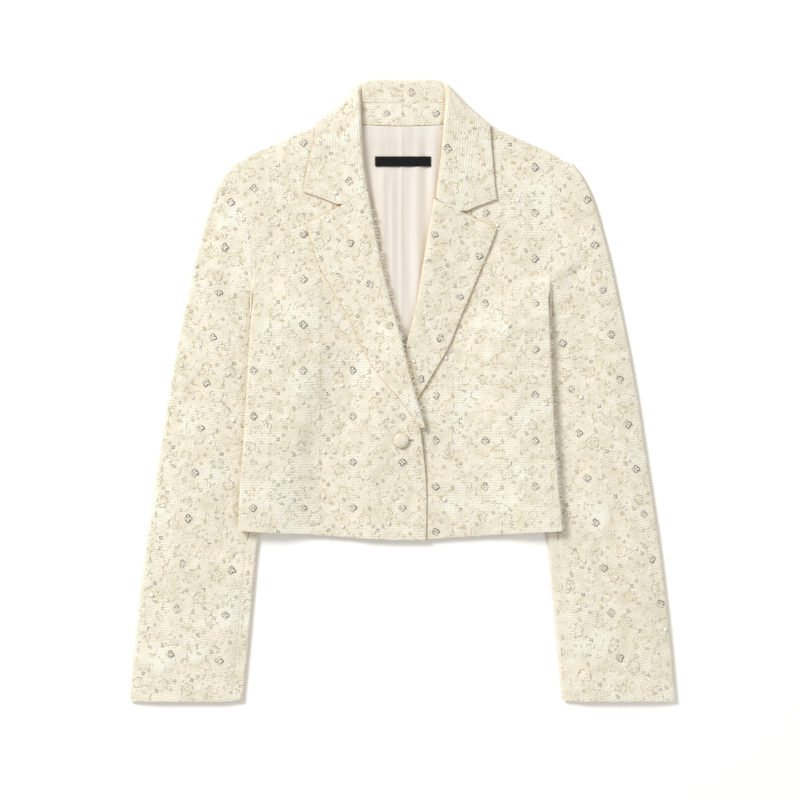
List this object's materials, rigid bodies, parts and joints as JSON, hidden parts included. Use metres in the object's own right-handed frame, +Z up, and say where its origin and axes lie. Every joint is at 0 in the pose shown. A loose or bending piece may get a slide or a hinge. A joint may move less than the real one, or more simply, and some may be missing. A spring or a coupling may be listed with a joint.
{
  "type": "boucle blazer",
  "caption": "Cropped one-button blazer in cream boucle, laid flat with its lapels turned back and its sleeves beside the body",
  "frame": {"origin": "centre of the bounding box, on the surface that the garment lies on", "axes": "+Z up out of the surface, +Y from the hem towards the collar, +X towards the wearer's left"},
  "size_m": [0.6158, 0.7011, 0.0158],
  "materials": {
    "boucle": "cream boucle with fine crosswise ribs, raised floral threads, pailettes and clusters of tiny silver sequins",
    "satin": "off-white satin lining with a soft sheen",
    "woven_black": "bare black woven label"
  },
  "bodies": {
    "root": {"back": "boucle", "front_right": "boucle", "front_left": "boucle", "side_right": "boucle", "side_left": "boucle", "lapel_right": "boucle", "lapel_left": "boucle", "collar": "boucle", "back_facing": "boucle", "lining_back": "satin", "sleeve_right_upper": "boucle", "sleeve_right_under": "boucle", "sleeve_left_upper": "boucle", "sleeve_left_under": "boucle", "button": "boucle", "label": "woven_black"}
  },
  "joints": []
}
